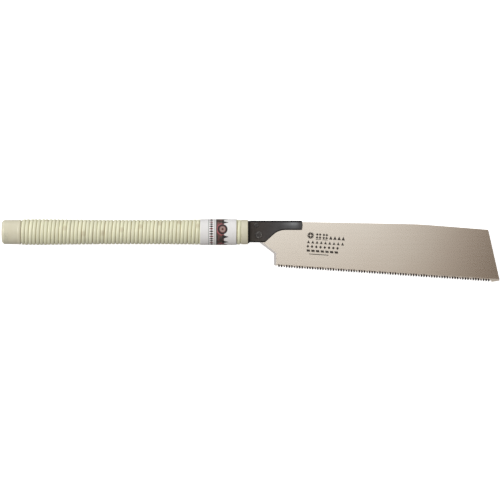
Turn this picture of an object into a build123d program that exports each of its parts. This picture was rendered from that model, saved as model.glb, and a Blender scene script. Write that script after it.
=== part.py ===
from build123d import *
import math
import os

# Japanese pull saw with a replaceable single-edged blade and a cane-wrapped handle.
#
# The saw lies flat on its side. The origin is the centre of the butt end's flat face.
# +X runs from the butt to the toe, +Y towards the blade's back, +Z through the blade's thickness.
# The blade's middle plane and the handle's axis both lie in the plane Z = 0. Millimetres.

# ---- driving dimensions: handle -------------------------------------------------------------
handle_length = 294.5        # butt face to the front face of the ferrule
oval_ratio = 0.86            # handle thickness (Z) over handle width (Y)
strand_height = 1.9          # how far the half-round cane stands off the core
wrap_start = 23.7
wrap_end = handle_length - 8.2
wrap_widths = [              # station along the handle, width over the cane
    (wrap_start, 30.9),
    (45.0, 31.0),
    (75.0, 30.5),
    (105.0, 29.8),
    (135.0, 29.5),
    (165.0, 29.5),
    (205.0, 29.7),
    (234.0, 30.4),
    (260.0, 30.5),
    (wrap_end, 30.5),
]
seat_gap = 0.1               # glue line between a sleeve or cap and the core

butt_width = 28.9
butt_length = 23.5
butt_rounding = 3.8
butt_lip_width = 29.7
butt_lip_length = 3.4
butt_lip_rounding = 0.3
butt_spigot_width = 22.0     # the core's turned-down end inside the butt cap
butt_spigot_start = 4.5

label_start = 237.4
label_end = 280.7
label_width = 31.3
label_thickness = 0.28

ferrule_width = 29.5
ferrule_rounding = 0.9
ferrule_spigot_width = 25.8  # the core's turned-down end inside the ferrule
ferrule_spigot_length = 4.0
ferrule_opening_width = 23.0

plug_width = 26.7            # black plug that closes the handle's mouth
plug_flange = 1.8
plug_rounding = 0.5
plug_spigot_width = 22.9

# ---- driving dimensions: blade holder -------------------------------------------------------
sheet = 1.2                  # thickness of the folded sheet
blade_thickness = 0.6
side_gap = 0.1               # between the blade and each side of the holder
fold_radius = 2.0            # outside radius of the fold along the top
fold_hollow_radius = 0.9
holder_top = 13.6
holder_bottom = -12.3
spine_bottom = 2.45
body_end = 20.3              # the following lengths are measured from the handle's mouth
slope_end = 31.0
slope_end_height = -2.6
spine_start = 45.0
holder_end = 64.6
holder_point = 0.8           # how far the middle of the holder's end stands forward
holder_end_rounding = 0.9
tang_length = 76.0
tang_half_width = 8.0
tang_rounding = 2.0
swell_start = 8.2            # the flat sides swell into the fold above this height
swell_flat = 0.2             # last of the flat side, where the swell begins

pin_offset = 12.9            # hook pin, from the mouth
pin_height = -3.5
pin_radius = 2.5
pin_head_radius = 4.4
rivet_offset = 10.2
rivet_height = 8.4
rivet_radius = 1.6
rivet_head_radius = 3.0
head_height = 0.9
head_rounding = 0.63
fit_clearance = 0.05         # radial

tang_pin_radius = 1.5
tang_pin_chamfer = 0.3
tang_pin_recess = 0.5        # each end of a tang pin stops this short of the core's narrow end
tang_pin_offsets = {"front": 22.0, "rear": 58.0}    # back from the mouth

# ---- driving dimensions: blade --------------------------------------------------------------
back_height = 12.0
back_bend = 68.0             # the back edge is level up to here, from the mouth
back_slope_end = 186.7
back_slope_end_height = 9.66
back_curve_end = 215.5
back_curve_end_height = 8.44
toe_top = (287.6, 2.75)      # corners of the blade, from the mouth
toe_bottom = (301.4, -58.2)
toe_heel_corner = (291.5, -59.7)
toe_rounding = 1.2
heel_offset = 31.0
heel_bottom_height = -40.4
heel_cut = (1.5, 1.2)        # the heel's lower corner is cut off by this much
heel_break_height = -25.9
heel_rise_angle = 38.0       # the heel's edge climbs to the holder at this angle
heel_rounding = 3.0
tooth_line_start = (35.9, -42.4)
tooth_line_slope = 3.9       # degrees, falling towards the toe
tooth_count = 82
tooth_pitch = 3.107
tooth_depth = 2.3
group_size = 4               # three cutting teeth, then one raker
raker_position = 2
hook_back_offset = 6.0       # hook's rear edge behind the pin's axis
hook_tip_height = 4.5        # hook's tip above the pin's axis
hook_tip_rounding = 1.2
notch_flare = 2.0            # the notch opens towards the back by this much

cut_overrun = 1.0            # how far a cutting solid runs past what it cuts
pick_tolerance = 0.1

# ---- derived --------------------------------------------------------------------------------
mouth = handle_length
plug_front = mouth + plug_flange
half_gap = blade_thickness / 2 + side_gap
holder_half = half_gap + sheet
fold_centre_height = holder_top - fold_radius
pin_centre = (mouth + pin_offset, pin_height)
rivet_centre = (mouth + rivet_offset, rivet_height)

os.makedirs("parts", exist_ok=True)


def save(part, name):
    """Label one finished piece and write it to its own STEP file."""
    part.label = name
    export_step(part, f"parts/{name}.step")


def oval_section(station, width):
    """An oval across the handle at a station along X: width along Y, thickness along Z."""
    with BuildSketch(Plane.YZ.offset(station)) as section:
        Ellipse(width / 2, width * oval_ratio / 2)
    return section.sketch


def oval_loft(widths, mode=Mode.ADD):
    """A smooth oval body through stations (X, width)."""
    loft([oval_section(station, width) for station, width in widths], mode=mode)


def oval_extrude(start, end, width, mode=Mode.ADD):
    """A straight oval body from one station to another."""
    extrude(oval_section(start, width), amount=end - start, mode=mode)


# ---- handle core: turned wood with a sawn slot for the holder's tang -------------------------
core_widths = [(station, width - 2 * strand_height) for station, width in wrap_widths]
slot_length = tang_length + cut_overrun
tang_pin_stations = {place: mouth - offset for place, offset in tang_pin_offsets.items()}

with BuildPart() as handle_core:
    oval_loft(core_widths)
    oval_extrude(butt_spigot_start, wrap_start, butt_spigot_width)
    oval_extrude(wrap_end, wrap_end + ferrule_spigot_length, ferrule_spigot_width)
    with BuildSketch(Plane.YZ.offset(mouth)) as slot_profile:
        Rectangle(2 * (tang_half_width + seat_gap), 2 * (holder_half + seat_gap))
    extrude(amount=-slot_length, mode=Mode.SUBTRACT)
    with BuildSketch(Plane.XY) as core_pin_holes:
        with Locations(*[(station, 0) for station in tang_pin_stations.values()]):
            Circle(tang_pin_radius + fit_clearance)
    extrude(amount=ferrule_spigot_width, both=True, mode=Mode.SUBTRACT)
save(handle_core.part, "handle_core")

# ---- cane wrap: the space of the wound strand, over the core --------------------------------
sleeve_bore = [(station, width + 2 * seat_gap) for station, width in core_widths]

with BuildPart() as cane_wrap:
    oval_loft(wrap_widths)
    oval_loft(sleeve_bore, mode=Mode.SUBTRACT)
save(cane_wrap.part, "cane_wrap")

# ---- label band: thin printed band round the cane -------------------------------------------
with BuildPart() as label_band:
    oval_extrude(label_start, label_end, label_width)
    oval_extrude(label_start, label_end, label_width - 2 * label_thickness, mode=Mode.SUBTRACT)
save(label_band.part, "label_band")

# ---- butt cap: moulded cup with a raised lip, its end rounded over ---------------------------
with BuildPart() as butt_cap:
    oval_extrude(0, butt_length, butt_width)
    fillet(butt_cap.edges().group_by(Axis.X)[0], butt_rounding)
    oval_extrude(butt_length - butt_lip_length, butt_length, butt_lip_width)
    lip_start = butt_length - butt_lip_length
    lip_edges = butt_cap.edges().filter_by_position(
        Axis.X, lip_start - pick_tolerance, lip_start + pick_tolerance
    )
    fillet(lip_edges.sort_by(SortBy.LENGTH)[-1], butt_lip_rounding)
    oval_extrude(butt_spigot_start, butt_length, butt_spigot_width + 2 * seat_gap, mode=Mode.SUBTRACT)
save(butt_cap.part, "butt_cap")

# ---- front ferrule: moulded ring round the core's front end ---------------------------------
ferrule_shoulder = wrap_end + ferrule_spigot_length

with BuildPart() as front_ferrule:
    oval_extrude(wrap_end, mouth, ferrule_width)
    fillet(front_ferrule.edges().group_by(Axis.X)[-1], ferrule_rounding)
    oval_extrude(wrap_end, ferrule_shoulder, ferrule_spigot_width + 2 * seat_gap, mode=Mode.SUBTRACT)
    oval_extrude(ferrule_shoulder, mouth, ferrule_opening_width, mode=Mode.SUBTRACT)
save(front_ferrule.part, "front_ferrule")

# ---- mouth plug: black plug round the tang, its flange on the ferrule's face -----------------
with BuildPart() as mouth_plug:
    oval_extrude(mouth, plug_front, plug_width)
    fillet(mouth_plug.edges().group_by(Axis.X)[-1], plug_rounding)
    oval_extrude(ferrule_shoulder, mouth, plug_spigot_width)
    with BuildSketch(Plane.YZ.offset(plug_front)) as plug_slot:
        Rectangle(2 * (tang_half_width + fit_clearance), 2 * (holder_half + fit_clearance))
    extrude(amount=-(plug_front - ferrule_shoulder), mode=Mode.SUBTRACT)
save(mouth_plug.part, "mouth_plug")

# ---- blade holder: one sheet folded along the blade's back, with a flat tang -----------------
tang_end = mouth - tang_length

with BuildPart() as blade_holder:
    # side view: the body at the mouth, the curved step up to the spine, and the pointed end
    with BuildSketch(Plane.XY) as side_view:
        with BuildLine() as side_outline:
            Polyline(
                (mouth + slope_end, slope_end_height),
                (mouth + body_end, holder_bottom),
                (plug_front, holder_bottom),
                (plug_front, -tang_half_width),
                (tang_end, -tang_half_width),
                (tang_end, tang_half_width),
                (plug_front, tang_half_width),
                (plug_front, holder_top),
                (mouth + holder_end, holder_top),
                (mouth + holder_end + holder_point, (holder_top + spine_bottom) / 2),
                (mouth + holder_end, spine_bottom),
                (mouth + spine_start, spine_bottom),
            )
            TangentArc(
                (mouth + spine_start, spine_bottom),
                (mouth + slope_end, slope_end_height),
                tangent=(-1, 0),
            )
        make_face()
        end_corners = side_view.vertices().filter_by_position(
            Axis.X, mouth + holder_end - pick_tolerance, mouth + holder_end + pick_tolerance
        )
        fillet(end_corners, holder_end_rounding)
        tang_corners = side_view.vertices().group_by(Axis.X)[0]
        fillet(tang_corners, tang_rounding)
    extrude(amount=fold_radius, both=True)
    # cross-section: two flat sides that swell into the round fold along the top
    with BuildSketch(Plane.YZ.offset(tang_end)) as folded_section:
        with Locations((fold_centre_height, 0)):
            Circle(fold_radius)
        with Locations((swell_start, 0)):
            Rectangle(swell_flat, 2 * holder_half)
        make_hull()
        with Locations(((swell_start + holder_bottom) / 2, 0)):
            Rectangle(swell_start - holder_bottom, 2 * holder_half)
    extrude(amount=tang_length + holder_end + 2 * holder_point, mode=Mode.INTERSECT)
    # the gap that takes the blade, with the hollow of the fold at its top
    with BuildSketch(Plane.YZ.offset(tang_end)) as gap_section:
        with Locations((fold_centre_height, 0)):
            Circle(fold_hollow_radius)
        with Locations(((fold_centre_height + holder_bottom - cut_overrun) / 2, 0)):
            Rectangle(fold_centre_height - holder_bottom + cut_overrun, 2 * half_gap)
    extrude(amount=tang_length + holder_end + 2 * holder_point, mode=Mode.SUBTRACT)
    # holes for the hook pin, the rivet and the two tang pins
    with BuildSketch(Plane.XY) as holder_holes:
        with Locations(pin_centre):
            Circle(pin_radius + fit_clearance)
        with Locations(rivet_centre):
            Circle(rivet_radius + fit_clearance)
        with Locations(*[(station, 0) for station in tang_pin_stations.values()]):
            Circle(tang_pin_radius + fit_clearance)
    extrude(amount=fold_radius, both=True, mode=Mode.SUBTRACT)
    # flat seats under the rivet's heads, where the fold swells
    for seat in (Plane.XY.offset(holder_half), Plane.XY.offset(-holder_half).rotated((180, 0, 0))):
        with BuildSketch(seat) as head_seat:
            with Locations(seat.to_local_coords(Vector(*rivet_centre, seat.origin.Z))):
                Circle(rivet_head_radius + 2 * fit_clearance)
        extrude(amount=fold_radius, mode=Mode.SUBTRACT)
save(blade_holder.part, "blade_holder")


def headed_pin(centre, shank_radius, head_radius):
    """A pin through the holder with a low domed head on each side, turned about its own axis."""
    top = holder_half + head_height
    with BuildPart() as pin:
        with BuildSketch(Plane.XY.offset(-top)) as shank:
            with Locations(centre):
                Circle(shank_radius)
        extrude(amount=2 * top)
        for plane in (Plane.XY.offset(holder_half), Plane.XY.offset(-top)):
            with BuildSketch(plane) as head:
                with Locations(centre):
                    Circle(head_radius)
            extrude(amount=head_height)
        rims = pin.edges().filter_by(GeomType.CIRCLE).group_by(Axis.Z)
        fillet(rims[0] + rims[-1], head_rounding)
    return pin.part


# ---- hook pin: the blade's hook turns on it -------------------------------------------------
save(headed_pin(pin_centre, pin_radius, pin_head_radius), "hook_pin")

# ---- holder rivet: keeps the two sides of the folded sheet together -------------------------
save(headed_pin(rivet_centre, rivet_radius, rivet_head_radius), "holder_rivet")

# ---- tang pins: steel pins through the core and the holder's tang ---------------------------
tang_pin_length = ferrule_spigot_width * oval_ratio - 2 * tang_pin_recess

for place, station in tang_pin_stations.items():
    with BuildPart() as tang_pin:
        with BuildSketch(Plane.XY.offset(-tang_pin_length / 2)) as tang_pin_section:
            with Locations((station, 0)):
                Circle(tang_pin_radius)
        extrude(amount=tang_pin_length)
        chamfer(tang_pin.edges().filter_by(GeomType.CIRCLE), tang_pin_chamfer)
    save(tang_pin.part, f"tang_pin_{place}")

# ---- saw blade: flat steel with a hook at the rear and grouped teeth ------------------------
slope = math.radians(tooth_line_slope)
along_teeth = Vector(math.cos(slope), -math.sin(slope))
into_blade = Vector(math.sin(slope), math.cos(slope))
tooth_origin = Vector(mouth + tooth_line_start[0], tooth_line_start[1])

# one tooth as (distance along the pitch, depth below the tip line), both as fractions
cutting_tooth = [(0.0, 1.0), (0.20, 0.0), (0.44, 0.20)]
raker_tooth = [(0.0, 1.0), (0.16, 0.62), (0.30, 0.10), (0.48, 0.48), (0.62, 0.10), (0.82, 1.12)]


def tooth_points():
    """The toothed edge from heel to toe, a raker in every group of four teeth."""
    points = []
    for number in range(tooth_count):
        is_raker = number % group_size == raker_position
        for fraction, depth in raker_tooth if is_raker else cutting_tooth:
            distance = (number + fraction) * tooth_pitch
            point = tooth_origin + along_teeth * distance + into_blade * (depth * tooth_depth)
            points.append((point.X, point.Y))
    end = tooth_origin + along_teeth * tooth_count * tooth_pitch + into_blade * tooth_depth
    points.append((end.X, end.Y))
    return points


def from_mouth(offset, height):
    return (mouth + offset, height)


notch_radius = pin_radius + fit_clearance
hook_back = pin_centre[0] - hook_back_offset
heel_rise = math.tan(math.radians(heel_rise_angle))
hook_foot = heel_break_height + heel_rise * (mouth + heel_offset - hook_back)
hook_tip = pin_height + hook_tip_height

with BuildPart() as saw_blade:
    with BuildSketch(Plane.XY.offset(-blade_thickness / 2)) as blade_face:
        with BuildLine() as blade_outline:
            back_slope = Line(
                from_mouth(back_bend, back_height),
                from_mouth(back_slope_end, back_slope_end_height),
            )
            back_curve = TangentArc(
                back_slope @ 1,
                from_mouth(back_curve_end, back_curve_end_height),
                tangent=back_slope % 1,
            )
            Polyline(
                back_curve @ 1,
                from_mouth(*toe_top),
                from_mouth(*toe_bottom),
                from_mouth(*toe_heel_corner),
                *reversed(tooth_points()),
                from_mouth(heel_offset + heel_cut[0], heel_bottom_height),
                from_mouth(heel_offset, heel_bottom_height + heel_cut[1]),
                from_mouth(heel_offset, heel_break_height),
                (hook_back, hook_foot),
                (hook_back, hook_tip),
                (pin_centre[0] - notch_radius, hook_tip),
                (pin_centre[0] - notch_radius, pin_height),
            )
            ThreePointArc(
                (pin_centre[0] - notch_radius, pin_height),
                (pin_centre[0], pin_height - notch_radius),
                (pin_centre[0] + notch_radius, pin_height),
            )
            Polyline(
                (pin_centre[0] + notch_radius, pin_height),
                (pin_centre[0] + notch_radius, hook_tip),
                (pin_centre[0] + notch_radius + notch_flare, back_height),
                from_mouth(back_bend, back_height),
            )
        make_face()
    extrude(amount=blade_thickness)
    upright = saw_blade.edges().filter_by(Axis.Z)
    toe_top_corner = upright.sort_by_distance((*from_mouth(*toe_top), 0))[0]
    toe_bottom_corner = upright.sort_by_distance((*from_mouth(*toe_bottom), 0))[0]
    heel_break = upright.sort_by_distance((*from_mouth(heel_offset, heel_break_height), 0))[0]
    hook_corner = upright.sort_by_distance((hook_back, hook_foot, 0))[0]
    hook_tip_corners = [
        upright.sort_by_distance((x, hook_tip, 0))[0]
        for x in (hook_back, pin_centre[0] - notch_radius)
    ]
    fillet([toe_top_corner, toe_bottom_corner], toe_rounding)
    fillet([hook_corner, heel_break], heel_rounding)
    fillet(hook_tip_corners, hook_tip_rounding)
save(saw_blade.part, "saw_blade")
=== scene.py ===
import random
from functools import partialmethod
from math import acos, asin, atan2, copysign, cos, exp, hypot, pi, radians, sin, sqrt, tan, tau

import bmesh
import bpy
from mathutils import Matrix, Vector
from mathutils.bvhtree import BVHTree


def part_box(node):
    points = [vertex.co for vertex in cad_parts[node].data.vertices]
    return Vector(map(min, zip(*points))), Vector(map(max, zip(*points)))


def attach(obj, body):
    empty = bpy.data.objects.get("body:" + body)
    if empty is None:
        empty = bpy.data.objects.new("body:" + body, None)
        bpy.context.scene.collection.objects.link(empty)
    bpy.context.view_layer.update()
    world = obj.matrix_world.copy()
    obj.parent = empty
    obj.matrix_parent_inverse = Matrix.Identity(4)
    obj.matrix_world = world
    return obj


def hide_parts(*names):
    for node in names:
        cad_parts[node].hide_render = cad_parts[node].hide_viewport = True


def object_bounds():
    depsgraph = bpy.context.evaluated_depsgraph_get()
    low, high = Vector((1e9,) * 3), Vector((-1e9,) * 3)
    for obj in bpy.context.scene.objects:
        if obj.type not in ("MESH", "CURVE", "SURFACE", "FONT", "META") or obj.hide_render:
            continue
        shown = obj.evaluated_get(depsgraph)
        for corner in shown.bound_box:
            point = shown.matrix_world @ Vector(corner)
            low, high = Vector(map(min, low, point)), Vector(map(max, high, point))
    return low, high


# Japanese pull saw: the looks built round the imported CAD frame. Metres, in the CAD frame:
# +X from the butt to the toe, +Y towards the blade's back, +Z through the blade's thickness.

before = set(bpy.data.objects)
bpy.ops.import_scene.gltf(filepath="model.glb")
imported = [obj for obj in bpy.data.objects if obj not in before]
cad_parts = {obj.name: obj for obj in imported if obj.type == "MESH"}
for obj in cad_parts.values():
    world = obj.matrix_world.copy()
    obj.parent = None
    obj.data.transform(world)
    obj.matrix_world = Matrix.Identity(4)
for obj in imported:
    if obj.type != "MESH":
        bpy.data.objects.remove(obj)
cad_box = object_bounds()
random.seed(11)
MM = 0.001
oval_steps = 144
pin_steps = 48

# ---- places, read from the frame ----
_, cap_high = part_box("butt_cap")
wrap_low, wrap_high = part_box("cane_wrap")
band_low, band_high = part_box("label_band")
ferrule_low, ferrule_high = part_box("front_ferrule")
plug_low, plug_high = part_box("mouth_plug")
holder_low, holder_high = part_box("blade_holder")
pin_low, pin_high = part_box("hook_pin")
rivet_low, rivet_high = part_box("holder_rivet")
_, blade_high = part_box("saw_blade")
oval_ratio = band_high.z / band_high.y
mouth = ferrule_high.x
plug_front = plug_high.x


# ---- mesh helpers ----
def add_object(name, data):
    made = bpy.data.objects.new(name, data)
    bpy.context.scene.collection.objects.link(made)
    return made


def make_piece(name, points, faces, materials, body, node, smooth=True):
    """A closed mesh piece that rides on a body and stands for one CAD node."""
    mesh = bpy.data.meshes.new(name)
    mesh.from_pydata([tuple(p) for p in points], [], faces)
    for material in materials:
        mesh.materials.append(material)
    shape = bmesh.new()
    shape.from_mesh(mesh)
    bmesh.ops.recalc_face_normals(shape, faces=shape.faces)
    shape.to_mesh(mesh)
    shape.free()
    mesh.polygons.foreach_set("use_smooth", [smooth] * len(mesh.polygons))
    piece = add_object(name, mesh)
    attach(piece, body)
    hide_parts(node)
    return piece


def give_attribute(piece, name, values, kind="FLOAT_VECTOR", domain="POINT"):
    """A named value on every point or face, for the piece's material to read."""
    layer = piece.data.attributes.new(name, kind, domain)
    if kind == "FLOAT_VECTOR":
        layer.data.foreach_set("vector", [c for v in values for c in v])
    else:
        layer.data.foreach_set("value", values)


def grid_faces(rows, columns, close_rows=False, close_columns=True):
    """Quads between neighbouring rows of points."""
    faces = []
    for row in range(rows if close_rows else rows - 1):
        for column in range(columns if close_columns else columns - 1):
            here, after = row * columns, (row + 1) % rows * columns
            beside = (column + 1) % columns
            faces.append((here + column, here + beside, after + beside, after + column))
    return faces


def rounded(corners, closed=False, steps=5):
    """A 2-D outline through corners (x, y, radius), with an arc at each."""
    outline = []
    count = len(corners)
    for number, (x, y, radius) in enumerate(corners):
        here = Vector((x, y))
        at_end = not closed and number in (0, count - 1)
        if not radius or at_end:
            outline.append(here)
            continue
        before = (Vector(corners[number - 1][:2]) - here).normalized()
        after = (Vector(corners[(number + 1) % count][:2]) - here).normalized()
        half_angle = before.angle(after) / 2
        centre = here + (before + after).normalized() * (radius / sin(half_angle))
        start = here + before * (radius / tan(half_angle)) - centre
        end = here + after * (radius / tan(half_angle)) - centre
        turn = -start.angle_signed(end)
        for step in range(steps + 1):
            arm = start.copy()
            arm.rotate(Matrix.Rotation(turn * step / steps, 2))
            outline.append(centre + arm)
    return outline


def with_support(profile, closed):
    """The profile with extra points close to the ends of its long straight lengths."""
    near = 0.12 * MM
    full = []
    count = len(profile)
    for number in range(count if closed else count - 1):
        here, there = Vector(profile[number]), Vector(profile[(number + 1) % count])
        full.append(here)
        span = there - here
        if span.length > 6 * near:
            full += [here + span.normalized() * near, there - span.normalized() * near]
    return full if closed else full + [Vector(profile[-1])]


def turned(name, rings, closed, material, node):
    """A handle piece from rings of points, with flat end faces when open."""
    rows, around = len(rings), len(rings[0])
    faces = grid_faces(rows, around, close_rows=closed)
    if not closed:
        faces.append(tuple(range(around)))
        faces.append(tuple(range((rows - 1) * around, rows * around)))
    points = [point for ring in rings for point in ring]
    return make_piece(name, points, faces, [material], "handle", node)


def oval_turned(name, profile, half_width, closed, material, node):
    """Turned along the handle from (station, half width). The thickness is less by the same all along."""
    flatten = half_width * (1 - oval_ratio)
    sweep = [tau * step / oval_steps for step in range(oval_steps)]
    rings = [
        [(station, half * cos(turn), (half - flatten) * sin(turn)) for turn in sweep]
        for station, half in with_support(profile, closed)
    ]
    return turned(name, rings, closed, material, node)


def round_turned(name, centre, profile, material, node):
    """A pin turned about an upright axis. The profile is (radius, height) from end to end."""
    sweep = [tau * step / pin_steps for step in range(pin_steps)]
    rings = [
        [(centre.x + radius * cos(turn), centre.y + radius * sin(turn), height) for turn in sweep]
        for radius, height in profile
    ]
    return turned(name, rings, False, material, node)


# ---- material helpers ----
class Nodes:
    """Short calls that add and link nodes in one node tree."""

    def __init__(self, tree):
        self.tree = tree

    def add(self, kind, inputs=None, **settings):
        node = self.tree.nodes.new("ShaderNode" + kind)
        for setting, value in settings.items():
            setattr(node, setting, value)
        for socket, value in (inputs or {}).items():
            if isinstance(value, bpy.types.NodeSocket):
                self.tree.links.new(value, node.inputs[socket])
            else:
                node.inputs[socket].default_value = value
        return node

    def maths(self, operation, *values, clamp=False):
        inputs = dict(enumerate(values))
        return self.add("Math", inputs, operation=operation, use_clamp=clamp).outputs[0]

    plus = partialmethod(maths, "ADD")
    minus = partialmethod(maths, "SUBTRACT")
    times = partialmethod(maths, "MULTIPLY")
    over = partialmethod(maths, "DIVIDE")

    def off(self, value, centre):
        return self.maths("ABSOLUTE", self.minus(value, centre))

    def distance(self, x, y):
        return self.maths("SQRT", self.plus(self.times(x, x), self.times(y, y)))

    def span(self, value, start, end, low=0.0, high=1.0):
        """Low up to the start, high from the end on, and even between."""
        return self.add("MapRange", {0: value, 1: start, 2: end, 3: low, 4: high}).outputs[0]

    def parts(self, vector):
        return self.add("SeparateXYZ", {0: vector}).outputs

    def scaled(self, vector, scale):
        return self.add("Mapping", {"Vector": vector, "Scale": scale}).outputs[0]

    def grain(self, vector, scale, detail=3.0, roughness=0.55):
        """Noise with its own scale along each axis."""
        return self.noise(self.scaled(vector, scale), 1.0, detail, roughness)

    def noise(self, vector, scale=1.0, detail=3.0, roughness=0.55):
        settings = {"Vector": vector, "Scale": scale, "Detail": detail, "Roughness": roughness}
        return self.add("TexNoise", settings).outputs[0]

    def ramp(self, factor, stops, interpolation="LINEAR"):
        """A colour or grey ramp: stops are (position, grey) or (position, (r, g, b))."""
        node = self.add("ValToRGB", {"Fac": factor})
        elements = node.color_ramp.elements
        node.color_ramp.interpolation = interpolation
        while len(elements) < len(stops):
            elements.new(0.5)
        for element, (position, colour) in zip(elements, stops):
            rgb = colour if isinstance(colour, tuple) else (colour, colour, colour)
            element.position = position
            element.color = (*rgb, 1)
        return node.outputs[0]

    def mix(self, factor, first, second, blend="MIX"):
        first, second = (c if isinstance(c, bpy.types.NodeSocket) else (*c, 1) for c in (first, second))
        inputs = {0: factor, 6: first, 7: second}
        return self.add("Mix", inputs, data_type="RGBA", blend_type=blend).outputs[2]

    def window(self, value, low, high, soft):
        """1 where the value lies between low and high, with soft edges."""
        rise = self.span(value, low - soft, low + soft)
        fall = self.span(value, high - soft, high + soft)
        return self.maths("SUBTRACT", rise, fall, clamp=True)


class Look(Nodes):
    """A node material in the making."""

    def __init__(self, name, **settings):
        self.material = bpy.data.materials.new(name)
        self.material.use_nodes = True
        super().__init__(self.material.node_tree)
        self.shader = self.tree.nodes["Principled BSDF"]
        for socket, value in settings.items():
            self.shader.inputs[socket.replace("_", " ")].default_value = value

    def place(self):
        """The point's place in the saw, in metres."""
        return self.add("TexCoord").outputs["Object"]

    def attribute(self, name, output="Vector"):
        return self.add("Attribute", attribute_name=name).outputs[output]

    def shade(self, name, socket):
        self.tree.links.new(socket, self.shader.inputs[name])

    def colour(self, socket):
        self.shade("Base Color", socket)

    def roughness(self, socket):
        self.shade("Roughness", socket)

    def bump(self, height, distance, strength=1.0):
        settings = {"Height": height, "Distance": distance, "Strength": strength}
        self.shade("Normal", self.add("Bump", settings).outputs[0])


# ---- materials ----
def cane_look():
    """Bleached cane: fine fibres, paler and darker turns, faint nodes."""
    look = Look("cane", Coat_Weight=0.3, Coat_Roughness=0.2)
    strand = look.attribute("strand")
    along, across, _ = look.parts(strand)
    fibres = look.grain(strand, (14.0, 9.0, 3.0), 4)
    drift = look.grain(strand, (3.0, 0.6, 5.0), 2)
    stops = [(0.3, (0.81, 0.80, 0.56)), (0.52, (0.87, 0.87, 0.65)), (0.75, (0.91, 0.92, 0.72))]
    tone = look.ramp(fibres, stops)
    patches = look.ramp(drift, [(0.35, 0.88), (0.62, 1.0)])
    tone = look.mix(1.0, tone, patches, "MULTIPLY")
    # painted shade: the strand darkens towards its edges, into the groove between turns
    edge = look.ramp(look.maths("ABSOLUTE", across), [(0.82, 0.0), (1.0, 0.40)])
    tone = look.mix(edge, tone, (0.52, 0.46, 0.19))
    spaced = look.maths("FRACT", look.times(along, 2.3))
    knot = look.window(spaced, 0.490, 0.503, 0.003)
    tone = look.mix(look.times(knot, 0.35), tone, (0.42, 0.34, 0.17))
    look.colour(tone)
    look.roughness(look.ramp(fibres, [(0.2, 0.46), (0.8, 0.30)]))
    look.bump(fibres, 0.0001, 0.6)
    return look.material


def cap_look():
    """Cream moulded plastic with faint mottling and handling scuffs."""
    look = Look("cream_plastic", Coat_Weight=0.45, Coat_Roughness=0.22)
    place = look.place()
    mottle = look.noise(place, 120)
    fine = look.noise(place, 1500)
    scuffs = look.grain(place, (90, 900, 900), 4, 0.7)
    tone = look.ramp(mottle, [(0.3, (0.69, 0.66, 0.50)), (0.7, (0.73, 0.705, 0.555))])
    marks = look.ramp(scuffs, [(0.68, 0.0), (0.76, 0.25)])
    tone = look.mix(marks, tone, (0.64, 0.60, 0.46))
    x, y, _ = look.parts(place)
    end_wear = look.times(look.window(x, 2.5 * MM, 8.5 * MM, 1.2 * MM), look.window(y, -16 * MM, 0.0, 2 * MM))
    dabs = look.ramp(look.noise(place, 620, 3, 0.7), [(0.46, 0.0), (0.60, 0.40)])
    tone = look.mix(look.times(end_wear, dabs), tone, (0.42, 0.44, 0.35))
    look.colour(tone)
    look.roughness(look.ramp(scuffs, [(0.3, 0.32), (0.7, 0.44)]))
    look.bump(fine, 0.00002, 0.5)
    return look.material


def plug_look():
    """Black moulded plug, fine-grained and dull."""
    look = Look("black_plug", Specular_IOR_Level=0.15)
    place = look.place()
    grain = look.noise(place, 2600)
    look.colour(look.ramp(grain, [(0.3, (0.006, 0.005, 0.004)), (0.7, (0.016, 0.014, 0.012))]))
    look.roughness(look.ramp(grain, [(0.3, 0.42), (0.7, 0.62)]))
    look.bump(grain, 0.00004, 0.8)
    return look.material


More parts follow.
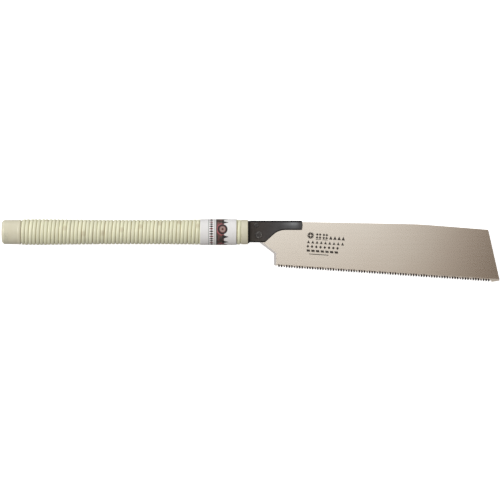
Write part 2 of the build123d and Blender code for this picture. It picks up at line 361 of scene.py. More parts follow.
def label_look():
    """White printed band: hairlines, lozenges and ringed crests. The band attribute holds the
    distance round the band and along it, both in metres."""
    look = Look("label_print", Coat_Weight=0.35, Coat_Roughness=0.18, Roughness=0.45)
    place = look.attribute("band")
    around, along = look.parts(place)[:2]
    paper = look.grain(place, (900, 900, 1))
    tone = look.ramp(paper, [(0.3, (0.83, 0.83, 0.835)), (0.7, (0.87, 0.87, 0.875))])

    # hairlines either side of the lozenges
    for start in (9.7 * MM, 17.2 * MM):
        line = look.window(along, start, start + 0.7 * MM, 0.15 * MM)
        tone = look.mix(look.times(line, 0.7), tone, (0.13, 0.17, 0.15))

    # lozenges, some red, with ticks beside them
    spacing = 2.9 * MM
    counted = look.over(around, spacing)
    off_centre = look.off(look.maths("FRACT", counted), 0.5)
    off_row = look.off(along, 13.6 * MM)
    reach = look.plus(off_centre, look.over(off_row, 5.4 * MM))
    lozenge = look.span(reach, 0.48, 0.42)
    third = look.maths("FRACT", look.over(look.maths("FLOOR", counted), 3.0))
    is_red = look.maths("GREATER_THAN", third, 0.5)
    ink = look.mix(is_red, (0.020, 0.006, 0.008), (0.14, 0.012, 0.02))
    tone = look.mix(lozenge, tone, ink)
    ticks = look.window(along, 11.0 * MM, 11.6 * MM, 0.1 * MM)
    ticks = look.times(ticks, look.maths("LESS_THAN", off_centre, 0.2))
    tone = look.mix(look.times(ticks, 0.7), tone, (0.05, 0.05, 0.045))

    # crests: ringed discs with dark spikes between
    cell_width = 25.0 * MM
    cell = look.maths("FRACT", look.plus(look.over(around, cell_width), 0.80))
    side = look.times(look.minus(cell, 0.5), cell_width)
    rise = look.minus(along, 26.8 * MM)
    away = look.over(look.distance(side, rise), 10 * MM)
    worn = look.grain(place, (420, 420, 1))
    away_rough = look.plus(away, look.times(look.minus(worn, 0.5), 0.10))

    ground = look.ramp(away_rough, [
        (0.58, (0.40, 0.11, 0.12)), (0.70, (0.34, 0.09, 0.10)), (0.78, (0.10, 0.03, 0.025)),
        (0.88, (0.10, 0.065, 0.05)), (1.0, (0.045, 0.03, 0.024)),
    ])
    blotch = look.ramp(look.grain(place, (260, 260, 1)), [(0.50, 0.0), (0.60, 0.55)])
    ground = look.mix(blotch, ground, (0.24, 0.075, 0.07))
    border = look.window(along, 19.0 * MM, 20.0 * MM, 0.12 * MM)
    ground = look.mix(border, ground, (0.012, 0.006, 0.006))
    on_ground = look.window(along, 19.1 * MM, 28.6 * MM, 0.12 * MM)
    tone = look.mix(on_ground, tone, ground)
    to_side = look.minus(cell_width / 2, look.maths("ABSOLUTE", side))
    spike_width = look.times(look.minus(34.2 * MM, along), 0.34)
    off_spike = look.off(to_side, 3.6 * MM)
    spike = look.maths("LESS_THAN", off_spike, spike_width)
    spike = look.times(spike, look.window(along, 26.4 * MM, 34.0 * MM, 0.1 * MM))
    tone = look.mix(spike, tone, (0.010, 0.008, 0.008))
    disc = look.span(away, 0.600, 0.580)
    rings = look.ramp(away, [
        (0.0, (0.10, 0.010, 0.008)), (0.10, (0.08, 0.012, 0.01)), (0.16, (0.36, 0.25, 0.22)),
        (0.32, (0.33, 0.22, 0.20)), (0.37, (0.11, 0.010, 0.010)), (0.43, (0.05, 0.006, 0.006)),
        (0.46, (0.008, 0.006, 0.006)),
    ])
    tone = look.mix(disc, tone, rings)
    look.colour(tone)
    look.bump(paper, 0.00002, 0.5)
    return look.material


def holder_look():
    """Blackened sheet steel, with painted shade along its edges, a painted highlight on the spine, a painted warm
    reflection near the handle and painted light just at the mouth. The skin attribute holds, in metres, the height
    above the lower edge, the depth below the top and the distance out."""
    look = Look("black_oxide", Specular_IOR_Level=0.25)
    place = look.place()
    above, below, out = look.parts(look.attribute("skin"))
    cloud = look.noise(place, 140, 4, 0.6)
    fine = look.grain(place, (700, 2600, 2600), 4)
    # painted reflection: browner near the handle, fading to grey out towards the spine
    brown = look.ramp(cloud, [(0.3, (0.050, 0.043, 0.038)), (0.7, (0.062, 0.053, 0.047))])
    grey = look.ramp(cloud, [(0.3, (0.054, 0.052, 0.053)), (0.7, (0.071, 0.069, 0.071))])
    tone = look.mix(look.span(out, 12 * MM, 34 * MM), brown, grey)
    # painted light: lighter just beside the mouth, where the ferrule's shade falls
    near_mouth = look.span(out, 15 * MM, 5 * MM, 0.0, 0.8)
    tone = look.mix(near_mouth, tone, (0.095, 0.083, 0.073))
    specks = look.ramp(look.noise(place, 900, 2), [(0.66, 0.0), (0.76, 0.4)])
    tone = look.mix(specks, tone, (0.12, 0.11, 0.10))
    # painted highlight: a bluish grey sheen across the upper spine, towards the pointed end
    length = look.ramp(look.over(out, 65 * MM), [
        (0.45, 0.0), (0.62, 0.15), (0.74, 0.55), (0.81, 1.0), (0.88, 0.95), (0.95, 0.15),
    ])
    width = look.ramp(look.over(below, 12 * MM), [(0.12, 0.0), (0.22, 1.0), (0.36, 0.9), (0.55, 0.4), (0.85, 0.1)])
    painted_spine_highlight = look.times(length, width)
    tone = look.mix(painted_spine_highlight, tone, (0.235, 0.25, 0.26))
    # painted shade: near black in a strip along the fold, the lower lip and the pointed end
    near_edge = look.maths("MINIMUM", look.plus(above, 0.4 * MM), below)
    near_edge = look.maths("MINIMUM", near_edge, look.plus(look.minus(65.4 * MM, out), 0.6 * MM))
    dark = look.span(near_edge, 2.2 * MM, 1.5 * MM)
    tone = look.mix(look.times(dark, 0.92), tone, (0.003, 0.003, 0.003))
    look.colour(tone)
    skin = look.ramp(cloud, [(0.25, 0.36), (0.75, 0.48)])
    look.roughness(look.plus(skin, look.times(dark, 0.35)))
    look.bump(fine, 0.00003, 0.6)
    return look.material


def pin_look(name, centre, radius, wear):
    """Black skin, worn through to grey steel round the head's rim."""
    look = Look(name)
    place = look.place()
    x, y = look.parts(place)[:2]
    far = look.over(look.distance(look.minus(x, centre.x), look.minus(y, centre.y)), radius)
    rim = look.window(far, 0.55, 0.92, 0.10)
    patchy = look.ramp(look.noise(place, 900), [(0.46, 0.0), (0.62, 1.0)])
    worn = look.times(look.times(rim, patchy), wear)
    look.colour(look.mix(worn, (0.040, 0.036, 0.034), (0.34, 0.33, 0.31)))
    look.roughness(look.ramp(worn, [(0.0, 0.42), (1.0, 0.30)]))
    look.bump(look.noise(place, 2500), 0.00003, 0.6)
    return look.material


def blade_look():
    """Plated spring steel: lengthwise polishing lines, dark tooth points, a greyer heel border."""
    look = Look("plated_steel", Metallic=1.0)
    place = look.place()
    lines = look.grain(place, (22, 4200, 1), 3, 0.6)
    bands = look.grain(place, (7, 420, 1))
    haze = look.noise(place, 24)
    tone = look.ramp(lines, [(0.3, (0.810, 0.755, 0.668)), (0.7, (0.845, 0.795, 0.712))])
    tone = look.mix(look.ramp(bands, [(0.35, 0.0), (0.7, 0.2)]), tone, (0.81, 0.755, 0.675))
    tone = look.mix(look.ramp(haze, [(0.35, 0.0), (0.7, 0.35)]), tone, (0.80, 0.725, 0.64))
    x, y, _ = look.parts(place)
    from_x = look.minus(x, tooth_origin.x)
    from_y = look.minus(y, tooth_origin.y)

    def measured(way):
        return look.plus(look.times(from_x, way.x), look.times(from_y, way.y))

    # greyer border: beside the heel and under the climb
    beside = look.window(x, heel - 1 * MM, heel + 2.6 * MM, 0.5 * MM)
    beside = look.times(beside, look.maths("LESS_THAN", y, heel_break))
    off_x = look.times(look.minus(x, heel), sin(heel_climb))
    off_y = look.times(look.minus(y, heel_break), cos(heel_climb))
    under = look.window(look.plus(off_x, off_y), -1 * MM, 2.3 * MM, 0.5 * MM)
    under = look.times(under, look.maths("GREATER_THAN", y, heel_break))
    border = look.times(look.maths("MAXIMUM", beside, under), 0.85)
    tone = look.mix(border, tone, (0.74, 0.735, 0.745))

    # hardened points: a dark stroke up each tooth
    depth = look.over(measured(into_blade), tooth_depth)
    counted = look.over(measured(along_teeth), tooth_pitch)
    part = look.maths("FRACT", counted)
    fourth = look.maths("FRACT", look.over(look.maths("FLOOR", counted), 4.0))
    raker = look.window(fourth, 0.4, 0.6, 0.02)
    uneven = look.times(look.minus(look.noise(place, 700, 2), 0.5), 0.5)
    reach = look.plus(look.plus(1.52, uneven), look.times(raker, -0.25))
    in_depth = look.span(look.minus(depth, reach), 0.12, -0.12)
    stroke = look.window(part, 0.02, 0.58, 0.05)
    on_teeth = look.times(look.maths("GREATER_THAN", counted, 0.0), look.maths("LESS_THAN", counted, tooth_count))
    dark = look.times(look.times(in_depth, stroke), on_teeth)
    dark = look.times(dark, look.minus(1.0, look.times(raker, 0.15)))
    dark = look.maths("MAXIMUM", dark, look.times(look.attribute("hardened", "Fac"), 0.75))
    tint = look.ramp(dark, [(0.0, (0.60, 0.50, 0.36)), (0.35, (0.20, 0.15, 0.13)), (1.0, (0.030, 0.025, 0.024))])
    tone = look.mix(look.times(dark, 1.8, clamp=True), tone, tint)
    look.colour(tone)
    # duller along the border and the ground strip of the teeth
    polish = look.ramp(bands, [(0.3, 0.12), (0.7, 0.135)])
    strip = look.span(depth, 1.9, 1.6)
    look.roughness(look.plus(polish, look.times(look.maths("MAXIMUM", strip, border), 0.2)))
    look.bump(lines, 0.000004, 0.1)
    return look.material


def ink_look():
    """Dark brown printing ink, a little broken."""
    look = Look("print_ink", Roughness=0.5)
    patchy = look.noise(look.place(), 2400, 3)
    look.colour(look.ramp(patchy, [(0.35, (0.022, 0.016, 0.012)), (0.75, (0.075, 0.060, 0.048))]))
    look.bump(patchy, 0.00001, 0.5)
    return look.material


def wood_look():
    """Pale turned wood with growth rings along the handle."""
    look = Look("core_wood", Roughness=0.6)
    place = look.place()
    wavy = look.grain(place, (6, 60, 60), 4)
    rings = look.add("TexWave", {
        "Vector": look.scaled(place, (2, 1, 1)), "Scale": 190.0, "Distortion": 2.5, "Detail": 3.0,
    }, bands_direction="Y").outputs[0]
    tone = look.mix(look.ramp(rings, [(0.2, 0.0), (0.9, 0.7)]), (0.62, 0.46, 0.28), (0.48, 0.32, 0.17))
    look.colour(look.mix(look.ramp(wavy, [(0.3, 0.0), (0.8, 0.4)]), tone, (0.70, 0.55, 0.36)))
    look.bump(rings, 0.0001, 0.3)
    return look.material


def bright_pin_look():
    """Plain drawn steel pin."""
    look = Look("drawn_steel", Metallic=1.0)
    lines = look.grain(look.place(), (900, 900, 120), 3)
    look.colour(look.ramp(lines, [(0.3, (0.46, 0.46, 0.47)), (0.7, (0.62, 0.62, 0.63))]))
    look.roughness(look.ramp(lines, [(0.3, 0.28), (0.7, 0.42)]))
    return look.material


cream = cap_look()


# ---- handle: the wound cane strand ----
def wrap_halves():
    """Half width and half thickness of the CAD sleeve at any station."""
    tree = BVHTree.FromObject(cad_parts["cane_wrap"], bpy.context.evaluated_depsgraph_get())
    stations, halves = [], []
    count = 90
    for number in range(count + 1):
        station = wrap_low.x + (wrap_high.x - wrap_low.x) * (0.002 + 0.996 * number / count)
        width = tree.ray_cast(Vector((station, 0.1, 0.0002)), Vector((0, -1, 0)))[0].y
        thick = tree.ray_cast(Vector((station, 0.0002, 0.1)), Vector((0, 0, -1)))[0].z
        stations.append(station)
        halves.append((width, thick))

    def at(station):
        place = (station - stations[0]) / (stations[-1] - stations[0]) * count
        place = min(max(place, 0.0), count - 1e-6)
        low = int(place)
        part = place - low
        return tuple(a + (b - a) * part for a, b in zip(halves[low], halves[low + 1]))

    return at


sleeve = wrap_halves()
turns = 58.0
strand_height = 1.9 * MM
pitch = (wrap_high.x - wrap_low.x) / turns


def wandering(period, size):
    """A slow random drift with the given period in turns."""
    knots = [random.uniform(-size, size) for _ in range(int(turns / period) + 4)]

    def at(turn):
        place = turn / period
        low = int(place)
        part = place - low
        ease = part * part * (3 - 2 * part)
        return knots[low] + (knots[low + 1] - knots[low]) * ease

    return at


def build_strand():
    """One half-round strand, wound side by side, its first and last turns tapered."""
    steps_per_turn = 72
    dome = [-1.0, -0.95, -0.84, -0.64, -0.36, 0.0, 0.36, 0.64, 0.84, 0.95, 1.0]
    total = turns + 1
    rows = int(total * steps_per_turn)
    side_drift = wandering(0.37, 0.035)
    height_drift = wandering(0.61, 0.05)
    lean_drift = wandering(0.83, 0.16)
    points, strand = [], []
    along = 0.0
    for row in range(rows + 1):
        turn = total * row / rows
        width = pitch * min(1.0, turn, total - turn)
        width = max(width, pitch * 0.02)
        if turn < 1:
            middle = wrap_low.x + width / 2
        elif turn > total - 1:
            middle = wrap_high.x - width / 2
        else:
            middle = wrap_low.x + pitch * (turn - 0.5)
            middle += pitch * side_drift(turn) * min(1.0, turn - 1, total - 1 - turn)
        share = (width / pitch) ** 0.5
        height = strand_height * share * (0.97 + height_drift(turn))
        half_width, half_thick = sleeve(middle)
        angle = -tau * (turn - 0.25)
        outward = Vector((0, half_thick * cos(angle), half_width * sin(angle))).normalized()
        base = Vector((
            middle, (half_width - strand_height) * cos(angle), (half_thick - strand_height) * sin(angle)
        ))
        lean = lean_drift(turn)
        for place in dome:
            swell = max(0.0, 1 - abs(place - lean * (1 - place * place)) ** 3.2) ** 0.5
            points.append(base + outward * (height * swell) + Vector((place * width * 0.492, 0, 0)))
            strand.append((along, place, turn * 0.37))
        for place in (1.0, -1.0):
            points.append(base - outward * 0.15 * MM + Vector((place * width * 0.47, 0, 0)))
            strand.append((along, place, turn * 0.37))
        along += tau * half_width * 0.93 / steps_per_turn
    columns = len(dome) + 2
    faces = grid_faces(rows + 1, columns)
    faces.append(tuple(range(columns)))
    faces.append(tuple(range(rows * columns, (rows + 1) * columns)))
    piece = make_piece("cane_strand", points, faces, [cane_look()], "handle", "cane_wrap")
    give_attribute(piece, "strand", strand)


build_strand()


# ---- handle: printed band ----
def build_band():
    """A thin band wrapped round the cane, its end lapped over its start."""
    length = band_high.x - band_low.x
    half_width = band_high.y
    half_thick = band_high.z
    thickness = 0.16 * MM
    lap = 0.16
    around, rows = 160, 56
    flat = half_width * 0.93
    points, band = [], []
    for layer in (0, 1):
        for row in range(rows + 1):
            part = row / rows
            station = band_low.x + length * part
            at_edge = min(part, 1 - part) * length
            lift = 0.05 * MM * exp(-at_edge / (1.2 * MM))
            for step in range(around + 1):
                sweep = (tau + lap) * step / around
                turn = -pi / 2 + sweep
                over = max(0.0, sweep - tau + 0.25) / (lap + 0.25)
                ridge = cos(tau * ((station - wrap_low.x) / pitch + turn / tau))
                drop = 0.17 * MM - 0.035 * MM * ridge - lift - thickness * min(1.0, over * 1.6)
                drop += thickness * layer
                points.append((station, (half_width - drop) * cos(turn), (half_thick - drop) * sin(turn)))
                band.append((sweep * flat, length * part, 0.0))
    columns = around + 1
    faces = []
    shift = (rows + 1) * columns
    for row in range(rows):
        for step in range(around):
            corner = row * columns + step
            quad = (corner, corner + 1, corner + columns + 1, corner + columns)
            faces += [quad, tuple(shift + c for c in reversed(quad))]
    rim = list(range(columns))
    rim += [row * columns + around for row in range(1, rows + 1)]
    rim += [rows * columns + step for step in reversed(range(around))]
    rim += [row * columns for row in reversed(range(1, rows))]
    for here, there in zip(rim, rim[1:] + rim[:1]):
        faces.append((here, here + shift, there + shift, there))
    piece = make_piece("printed_band", points, faces, [label_look()], "handle", "label_band")
    give_attribute(piece, "band", band)


build_band()


# ---- handle: butt cap, ferrule and plug ----
def build_butt_cap():
    """A moulded cap: rounded end with a shallow gate mark and a lip."""
    lip = cap_high.y
    wall = lip - 0.4 * MM
    bore = 11.1 * MM
    end = cap_high.x
    profile = rounded([
        (0.35 * MM, 1.4 * MM, 0),
        (0.35 * MM, 2.6 * MM, 0.2 * MM),
        (0.0, 3.0 * MM, 0.2 * MM),
        (0.0, wall, 3.8 * MM),
        (end - 4.0 * MM, wall, 0.3 * MM),
        (end - 3.1 * MM, lip, 0.3 * MM),
        (end - 1.0 * MM, lip, 0.4 * MM),
        (end - 0.7 * MM, lip - 1.3 * MM, 0.2 * MM),
        (end, lip - 1.3 * MM, 0.1 * MM),
        (end, bore, 0.2 * MM),
        (4.5 * MM, bore, 0.4 * MM),
        (4.5 * MM, 1.4 * MM, 0),
    ], steps=8)
    oval_turned("butt_cap_moulded", profile, lip, False, cream, "butt_cap")


def build_ferrule():
    """A moulded ring, slightly barrelled, with rounded edges."""
    outer = ferrule_high.y
    start, end = ferrule_low.x, ferrule_high.x
    middle = (start + end) / 2
    profile = rounded([
        (start, outer - 2.0 * MM, 0.1 * MM),
        (start, outer - 0.12 * MM, 0.45 * MM),
        (middle, outer, 0),
        (end, outer - 0.15 * MM, 0.8 * MM),
        (end, outer - 3.1 * MM, 0.3 * MM),
        (end - 4.2 * MM, outer - 3.1 * MM, 0),
        (end - 4.2 * MM, outer - 2.0 * MM, 0),
    ], closed=True, steps=6)
    oval_turned("front_ferrule_moulded", profile, outer, True, cream, "front_ferrule")


def build_plug():
    """The black plug: a flange on the ferrule's face, closed round the holder."""
    outer = plug_high.y
    profile = rounded([
        (plug_low.x, 1.0 * MM, 0),
        (plug_low.x, outer - 1.9 * MM, 0),
        (mouth, outer - 1.9 * MM, 0),
        (mouth, outer, 0.15 * MM),
        (plug_front, outer, 0.55 * MM),
        (plug_front, 1.0 * MM, 0),
    ], steps=5)
    oval_turned("mouth_plug_moulded", profile, outer, False, plug_look(), "mouth_plug")


build_butt_cap()
build_ferrule()
build_plug()


# ---- blade holder: the folded sheet ----
half_gap = 0.4 * MM
sheet = 1.2 * MM
hollow_radius = 0.9 * MM
side = half_gap + sheet
fold_radius = holder_high.z
fold_centre = holder_high.y - fold_radius
swell_start = 8.2 * MM
lip_round = 0.3 * MM
body_bottom = holder_low.y
spine_bottom = 2.45 * MM
body_end = mouth + 20.3 * MM
slope_end = mouth + 31.0 * MM
slope_height = -2.6 * MM
spine_start = mouth + 45.0 * MM
end_corner = mouth + 64.6 * MM


def lower_edge(station):
    """Height of the holder's lower edge: level, a straight climb, an arc, then the spine."""
    if station <= body_end:
        return body_bottom
    if station <= slope_end:
        part = (station - body_end) / (slope_end - body_end)
        return body_bottom + (slope_height - body_bottom) * part
    if station >= spine_start:
        return spine_bottom
    reach = spine_start - slope_end
    drop = spine_bottom - slope_height
    radius = (reach ** 2 + drop ** 2) / (2 * drop)
    return spine_bottom - radius + sqrt(radius ** 2 - (spine_start - station) ** 2)


def end_shift(height):
    """How far the pointed, round-cornered end stands beyond its corners at one height."""
    middle = (holder_high.y + spine_bottom) / 2
    half = (holder_high.y - spine_bottom) / 2
    point = (holder_high.x - end_corner) * (1 - abs(height - middle) / half)
    corner = 0.9 * MM
    inset = corner - min(corner, half - abs(height - middle))
    return point - (corner - sqrt(max(0.0, corner ** 2 - inset ** 2)))


def half_section(bottom):
    """One side of the folded section as (height, z), outside from lip to fold, then inside back."""
    flat_steps, fold_steps = 30, 12
    outer = [(bottom, side - lip_round)]
    for step in range(1, 4):
        turn = pi / 2 * step / 3
        outer.append((bottom + lip_round * (1 - cos(turn)), side - lip_round + lip_round * sin(turn)))
    start = bottom + lip_round
    outer += [(start + (swell_start - start) * n / flat_steps, side) for n in range(1, flat_steps + 1)]
    reach = hypot(fold_centre - swell_start, side)
    tangent = atan2(side, swell_start - fold_centre) - acos(fold_radius / reach)
    for step in range(fold_steps + 1):
        turn = tangent * (1 - step / fold_steps)
        outer.append((fold_centre + fold_radius * cos(turn), fold_radius * sin(turn)))
    opening = pi - asin(half_gap / hollow_radius)
    inner = [(bottom, half_gap)]
    gap_top = fold_centre + hollow_radius * cos(opening)
    inner += [(bottom + (gap_top - bottom) * n / flat_steps, half_gap) for n in range(1, flat_steps + 1)]
    for step in range(1, fold_steps + 1):
        turn = opening * (1 - step / fold_steps)
        inner.append((fold_centre + hollow_radius * cos(turn), hollow_radius * sin(turn)))
    return outer, inner


def folded_loop(bottom):
    """The whole closed section: outside up one side, over the fold and down, then inside."""
    outer, inner = half_section(bottom)
    loop = list(outer)
    loop += [(y, -z) for y, z in reversed(outer[:-1])]
    loop += [(y, -z) for y, z in inner]
    loop += reversed(inner[:-1])
    return loop, len(outer) * 2 - 1


def build_holder():
    """The folded sheet, flat under the rivet's heads."""
    rivet = (rivet_low + rivet_high) / 2
    seat = (rivet_high.x - rivet_low.x) / 2
    step = 0.6 * MM
    count = int((end_corner - plug_front) / step)
    rim = 0.18 * MM
    rows = [(plug_front + (end_corner - plug_front) * n / count, 0.0) for n in range(count)]
    rows += [(end_corner - rim, 0.0), (end_corner - 0.35 * rim, 0.3 * rim), (end_corner, rim)]
    points, skin = [], []
    blend = 4.0 * MM
    for station, inset in rows:
        loop, outer_count = folded_loop(lower_edge(station))
        near_end = min(1.0, max(0.0, (station - end_corner + blend) / blend))
        for number, (height, z) in enumerate(loop):
            x = station + end_shift(height) * near_end
            outside = number < outer_count
            thinner = -inset if outside else inset
            z_out = z + copysign(thinner, z) if abs(z) > 1e-6 else z
            y_out = height if abs(z) > 1e-6 else height + thinner
            away = hypot(x - rivet.x, height - rivet.y)
            if outside and away < seat * 1.25:
                part = min(1.0, max(0.0, (away - seat * 1.05) / (seat * 0.20)))
                z_out = copysign(min(abs(z_out), side + (abs(z_out) - side) * part), z_out)
            points.append((x, y_out, z_out))
            skin.append((height - lower_edge(station), holder_high.y - height, station - mouth))
    columns = len(loop)
    faces = grid_faces(len(rows), columns)
    for row in (0, len(rows) - 1):
        base = row * columns
        faces.append(tuple(base + n for n in range(columns)))
    look = holder_look()
    piece = make_piece("blade_holder_folded", points, faces, [look], "handle", "blade_holder")
    give_attribute(piece, "skin", skin)


build_holder()


# ---- pins through the holder ----
def headed_profile(radius, shank, top):
    """Radius and height along a pin with a low peened dome at each end."""
    dome = [(0.12, 0.10), (0.26, 0.06), (0.36, 0.0), (0.60, 0.03), (0.80, 0.16), (0.93, 0.38), (1.0, 0.66)]
    upper = [(radius * share, top - drop * MM) for share, drop in dome]
    upper += [(radius * 0.985, side), (shank, side)]
    return upper + [(r, -z) for r, z in reversed(upper)]


def build_pins():
    for name, node, low, high, shank, wear in (
        ("hook_pin_peened", "hook_pin", pin_low, pin_high, 2.5 * MM, 0.55),
        ("holder_rivet_peened", "holder_rivet", rivet_low, rivet_high, 1.6 * MM, 0.18),
    ):
        centre = (low + high) / 2
        radius = (high.x - low.x) / 2
        look = pin_look(node + "_skin", centre, radius, wear)
        round_turned(name, centre, headed_profile(radius, shank, high.z), look, node)


build_pins()

# ---- saw blade ----
tooth_pitch = 3.107 * MM
tooth_depth = 2.3 * MM
tooth_count = 82
tooth_slope = radians(3.9)
along_teeth = Vector((cos(tooth_slope), -sin(tooth_slope)))
into_blade = Vector((sin(tooth_slope), cos(tooth_slope)))
tooth_origin = Vector((mouth + 35.9 * MM, -42.4 * MM))
heel = mouth + 31.0 * MM
heel_break = -25.9 * MM
heel_climb = radians(38)
tooth_set = 0.13 * MM
ground = 0.34 * MM
# tip points: pitches along from the tooth's start, tooth depths in
cutter_tips = [(0.20, 0.0), (0.44, 0.20)]
raker_tips = [(0.16, 0.62), (0.30, 0.10), (0.48, 0.48), (0.62, 0.10)]


def is_raker(number):
    """Every fourth tooth is a forked raker that clears the cut."""
    return number % 4 == 2


def on_edge(pitches, depth):
    """A point of the toothed edge: distance along it in pitches, depth in tooth depths."""
    return tooth_origin + along_teeth * (pitches * tooth_pitch) + into_blade * (depth * tooth_depth)


def blade_outline():
    """The edge from the heel round the hook and the back to the toe, without the teeth."""
    pin = (pin_low + pin_high) / 2
    notch = 2.55 * MM
    hook_back = pin.x - 6.0 * MM
    hook_tip = pin.y + 4.5 * MM
    hook_foot = heel_break + tan(heel_climb) * (heel - hook_back)
    outline = rounded([
        (heel + 1.5 * MM, -40.4 * MM, 0),
        (heel, -39.2 * MM, 0.4 * MM),
        (heel, heel_break, 3.0 * MM),
        (hook_back, hook_foot, 3.0 * MM),
        (hook_back, hook_tip, 1.2 * MM),
        (pin.x - notch, hook_tip, 1.2 * MM),
        (pin.x - notch, pin.y, 0),
    ], steps=6)
    for step in range(1, 16):
        turn = pi + pi * step / 16
        outline.append(Vector((pin.x + notch * cos(turn), pin.y + notch * sin(turn))))
    wall = pin.x + notch
    outline += [Vector(p) for p in ((wall, pin.y), (wall, hook_tip), (wall + 2.0 * MM, blade_high.y))]
    # the back: level, a straight fall, a gentle curve, a steeper fall
    back = [Vector((mouth + 68.0 * MM, 12.0 * MM)), Vector((mouth + 186.7 * MM, 9.66 * MM))]
    bend_end = Vector((mouth + 215.5 * MM, 8.44 * MM))
    toe_top = Vector((mouth + 287.6 * MM, 2.75 * MM))
    way_in = (back[1] - back[0]).normalized()
    way_out = (toe_top - bend_end).normalized()
    reach = (bend_end - back[1]).length / 3
    for step in range(1, 8):
        t = step / 8
        back.append(
            back[1] * (1 - t) ** 3
            + (back[1] + way_in * reach) * 3 * t * (1 - t) ** 2
            + (bend_end - way_out * reach) * 3 * t * t * (1 - t)
            + bend_end * t ** 3
        )
    back.append(bend_end)
    outline += back
    outline += rounded([
        (*bend_end, 0),
        (*toe_top, 1.2 * MM),
        (mouth + 301.4 * MM, -58.2 * MM, 1.0 * MM),
        (mouth + 291.5 * MM, -59.7 * MM, 0),
    ], steps=5)[1:]
    return outline


def inset_outline(outline, amount):
    """The same open outline moved towards the blade's inside."""
    moved = []
    last = len(outline) - 1
    for number, here in enumerate(outline):
        before, after = outline[max(0, number - 1)], outline[min(last, number + 1)]
        way_in = (here - before).normalized() if number else (after - here).normalized()
        way_out = (after - here).normalized() if number < last else way_in
        normal_in = Vector((way_in.y, -way_in.x))
        normal_out = Vector((way_out.y, -way_out.x))
        middle = (normal_in + normal_out).normalized()
        moved.append(here + middle * (amount / max(0.5, middle.dot(normal_in))))
    return moved


def build_blade():
    """The flat blade with its edges broken, and teeth set to both sides and ground."""
    edge = 0.07 * MM
    outline = blade_outline()
    inner = inset_outline(outline, edge)
    z = blade_high.z
    points, faces, hardened, inks = [], [], [], []

    def add_point(spot, height):
        points.append((spot[0], spot[1], height))
        return len(points) - 1

    def add_face(corners, hard=0.0, ink=0):
        faces.append(tuple(corners))
        hardened.append(hard)
        inks.append(ink)

    # rings of the plain edge: top flat, top break, bottom break, bottom flat
    rings = [
        [add_point(p, h) for p in line]
        for line, h in ((inner, z), (outline, z - edge), (outline, edge - z), (inner, -z))
    ]
    for upper, lower in zip(rings, rings[1:]):
        for n in range(len(outline) - 1):
            add_face((upper[n], upper[n + 1], lower[n + 1], lower[n]))

    # the root line, from heel to toe, closes the flat faces; teeth stand on it
    roots = [on_edge(0, 1.0)]
    for number in range(tooth_count):
        if is_raker(number):
            roots.append(on_edge(number + 0.82, 1.12))
        roots.append(on_edge(number + 1, 1.0))
    top_root = [add_point(p, z) for p in roots]
    bottom_root = [add_point(p, -z) for p in roots]

    left = 0
    for number in range(tooth_count):
        raker = is_raker(number)
        upper, lower = [top_root[left]], [bottom_root[left]]
        side_way = 0 if raker else (1 if (number + number // 4) % 2 else -1)
        for fraction, depth in raker_tips if raker else cutter_tips:
            nominal = on_edge(number + fraction, depth)
            shift = tooth_set * side_way * (1 - depth)
            inward = on_edge(number + 0.40, depth + 0.22) - nominal
            inward = inward.normalized() * min(ground, inward.length * 0.8) if inward.length > 0 else inward
            ground_spot = nominal + inward
            upper.append(add_point(nominal if side_way >= 0 else ground_spot, z + shift))
            lower.append(add_point(nominal if side_way <= 0 else ground_spot, -z + shift))
        upper.append(top_root[left + 1])
        lower.append(bottom_root[left + 1])
        hard = 0.45 if raker else 1.0
        add_face(upper)
        add_face(reversed(lower))
        for n in range(len(upper) - 1):
            add_face((upper[n], upper[n + 1], lower[n + 1], lower[n]), hard)
        if raker:
            add_face((top_root[left + 1], top_root[left + 2], bottom_root[left + 2], bottom_root[left + 1]), 0.2)
        left += 2 if raker else 1

    # the flat faces, and the short plain edges at heel and toe
    add_face(rings[0] + list(reversed(top_root)))
    add_face(list(reversed(rings[3])) + bottom_root)
    for ring_end, root_end in ((0, 0), (-1, -1)):
        strip = [ring[ring_end] for ring in rings]
        add_face(strip + [bottom_root[root_end], top_root[root_end]])

    add_marks(add_point, add_face, z)
    looks = [blade_look(), ink_look()]
    piece = make_piece("saw_blade_ground", points, faces, looks, "blade", "saw_blade", smooth=False)
    piece.data.polygons.foreach_set("material_index", inks)
    give_attribute(piece, "hardened", hardened, "FLOAT", "FACE")


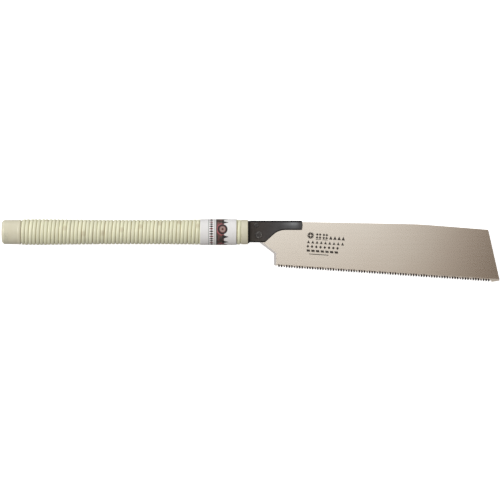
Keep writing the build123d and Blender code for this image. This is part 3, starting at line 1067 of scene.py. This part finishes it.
def add_marks(add_point, add_face, top):
    """Printed marks: plain generic shapes in rows parallel to the teeth."""
    corner = Vector((mouth + 70.6 * MM, -0.7 * MM))
    down = -into_blade
    film = 0.012 * MM

    def stamp(outline):
        """One inked shape, its outline in millimetres across and down from the corner."""
        spots = [corner + along_teeth * (u * MM) + down * (v * MM) for u, v in outline]
        upper = [add_point(p, top + film) for p in spots]
        lower = [add_point(p, top - film / 4) for p in spots]
        add_face(upper, 0.0, 1)
        add_face(reversed(lower), 0.0, 1)
        for n in range(len(upper)):
            after = (n + 1) % len(upper)
            add_face((upper[n], lower[n], lower[after], upper[after]), 0.0, 1)

    def bar(u, v, width, height, slant=0.0):
        stamp([(u, v), (u + width, v), (u + width + slant, v + height), (u + slant, v + height)])

    def wedge(u, v, width, height):
        stamp([(u, v + height), (u + width / 2, v), (u + width, v + height)])

    def rhomb(u, v, width, height):
        stamp([(u, v + height / 2), (u + width / 2, v), (u + width, v + height / 2), (u + width / 2, v + height)])

    def sector(u, v, inner, outer, start, end, steps=8):
        """Part of a ring about (u, v), between two angles in degrees."""
        turns_round = [radians(start + (end - start) * n / steps) for n in range(steps + 1)]
        rim = [(u + outer * cos(t), v + outer * sin(t)) for t in turns_round]
        stamp(rim + [(u + inner * cos(t), v + inner * sin(t)) for t in reversed(turns_round)])

    # first row: a toothed disc, two woven lattices, then a run of wedges
    disc_u, disc_v = 4.6, 3.1
    for quarter in range(4):
        sector(disc_u, disc_v, 1.1, 3.3, quarter * 90 + 4, quarter * 90 + 86)
    for spike in range(12):
        turn = tau * spike / 12
        stamp([
            (disc_u + reach * cos(turn + off), disc_v + reach * sin(turn + off))
            for reach, off in ((4.3, 0.0), (3.42, 0.25), (3.42, -0.25))
        ])
    for left in (10.8, 18.8):
        for column in (0.0, 3.5):
            for row in (-0.3, 3.3):
                rhomb(left + column, row, 3.3, 3.4)
        bar(left + 0.2, 6.9, 6.4, 0.7)
    for part in range(4):
        wedge(26.8 + part * 5.0, 2.0, 4.2, 4.4)
    # lower rows: wedges, rhombs and dashes, evenly spaced, then one thin rule
    for part in range(9):
        wedge(0.8 + part * 5.1, 8.9, 3.6, 3.6)
    for part in range(8):
        rhomb(0.4 + part * 5.1, 14.4, 3.4, 3.8)
    for part in range(7):
        bar(0.8 + part * 5.6, 20.0, 4.0, 2.6, 0.5)
    bar(4.4, 24.8, 23.0, 0.9)


build_blade()

# ---- CAD nodes that stay as they are, hidden inside the handle ----
bright = bright_pin_look()
for node, look in (("handle_core", wood_look()), ("tang_pin_front", bright), ("tang_pin_rear", bright)):
    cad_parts[node].data.materials.clear()
    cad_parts[node].data.materials.append(look)


# ---- studio: floor, sky light and camera ----
def build_floor():
    """A wide sweep just under the saw, white and glowing only to the camera."""
    reach = 30.0
    height = cad_box[0].z - 0.2 * MM
    mesh = bpy.data.meshes.new("floor")
    corners = [(-reach, -reach), (reach, -reach), (reach, reach), (-reach, reach)]
    mesh.from_pydata([(x, y, height) for x, y in corners], [], [(0, 1, 2, 3)])
    floor = add_object("floor", mesh)
    look = Look("white_sweep", Roughness=0.9, Emission_Color=(1, 1, 1, 1))
    seen = look.add("LightPath").outputs["Is Camera Ray"]
    look.colour(look.mix(seen, (0.36, 0.355, 0.35), (0.95, 0.95, 0.95)))
    look.shade("Emission Strength", look.times(seen, 0.8))
    mesh.materials.append(look.material)


def build_sky():
    """Soft studio light with a dark, warm patch of ceiling over the toe. East and north are
    slopes from straight up: east towards the toe, north towards the blade's back."""
    world = bpy.data.worlds.new("studio")
    bpy.context.scene.world = world
    world.use_nodes = True
    sky = Nodes(world.node_tree)
    x, y, z = sky.parts(sky.add("TexCoord").outputs["Generated"])
    up = sky.maths("MAXIMUM", z, 0.05)
    east, north = sky.over(x, up), sky.over(y, up)

    # brightness from the butt's side to the toe's side, and a lighter horizon past the toe
    level = sky.ramp(sky.span(east, -0.2, 0.2), [
        (0.0, 0.92), (0.30, 0.87), (0.50, 0.82), (0.60, 0.81), (0.66, 0.77), (0.70, 0.38), (0.74, 0.06), (1.0, 0.05),
    ])
    level = sky.plus(level, sky.span(east, 0.25, 1.2, 0.0, 0.65))
    # the dark patch is only overhead: away to the north and south the sky is even
    level = sky.maths("MAXIMUM", level, sky.span(sky.maths("ABSOLUTE", north), 0.25, 0.8, 0.0, 0.8))
    # brighter over the blade's back than over the teeth
    level = sky.times(level, sky.ramp(sky.span(north, -0.12, 0.12), [
        (0.0, 0.90), (0.27, 0.25), (0.5, 1.0), (0.73, 1.72), (1.0, 1.35),
    ]))
    warmth = sky.ramp(level, [
        (0.10, (1.40, 0.85, 0.48)), (0.25, (1.30, 0.92, 0.64)), (0.45, (1.13, 0.96, 0.81)),
        (0.62, (1.06, 0.985, 0.91)), (0.76, (1.02, 0.995, 0.97)), (0.95, (1.0, 1.0, 1.0)),
    ])
    # dimmer towards the horizons, for the blade seen from low down
    level = sky.times(level, sky.ramp(sky.span(north, -2.0, 2.0), [
        (0.0, 0.33), (0.06, 0.58), (0.14, 0.55), (0.27, 0.80), (0.5, 1.0), (0.54, 1.0), (0.62, 0.70), (0.80, 0.70),
        (1.0, 0.88),
    ]))
    glow = sky.add("VectorMath", {0: warmth, "Scale": level}, operation="SCALE").outputs[0]
    background = sky.tree.nodes["Background"]
    sky.tree.links.new(glow, background.inputs["Color"])
    background.inputs["Strength"].default_value = 1.0


def build_key_light():
    """A softbox over the butt, a little towards the blade's back."""
    lamp = bpy.data.lights.new("key", "AREA")
    lamp.energy = 20.0
    lamp.color = (1.0, 0.985, 0.95)
    lamp.size = 0.6
    key = add_object("key", lamp)
    key.location = (-1.6, 0.6, 1.7)
    aim = Vector((mouth / 2, 0, 0)) - key.location
    key.rotation_euler = aim.to_track_quat("-Z", "Y").to_euler()


def build_camera():
    """Looking straight down, level with the handle, the toe to the right."""
    scene = bpy.context.scene
    camera = add_object("camera", bpy.data.cameras.new("camera"))
    height = 3.0
    seen_width = 0.5985
    camera.location = (mouth + 2.4 * MM, -21.5 * MM, height)
    camera.data.sensor_width = 36
    camera.data.lens = 18 / (seen_width / 2 / height)
    camera.data.clip_start = 0.05
    camera.data.clip_end = 100
    scene.camera = camera
    scene.view_settings.view_transform = "Standard"
    # unfiltered guides: the denoiser otherwise takes the even row of fine teeth for noise
    scene.cycles.denoising_prefilter = "NONE"


build_floor()
build_sky()
build_key_light()
build_camera()
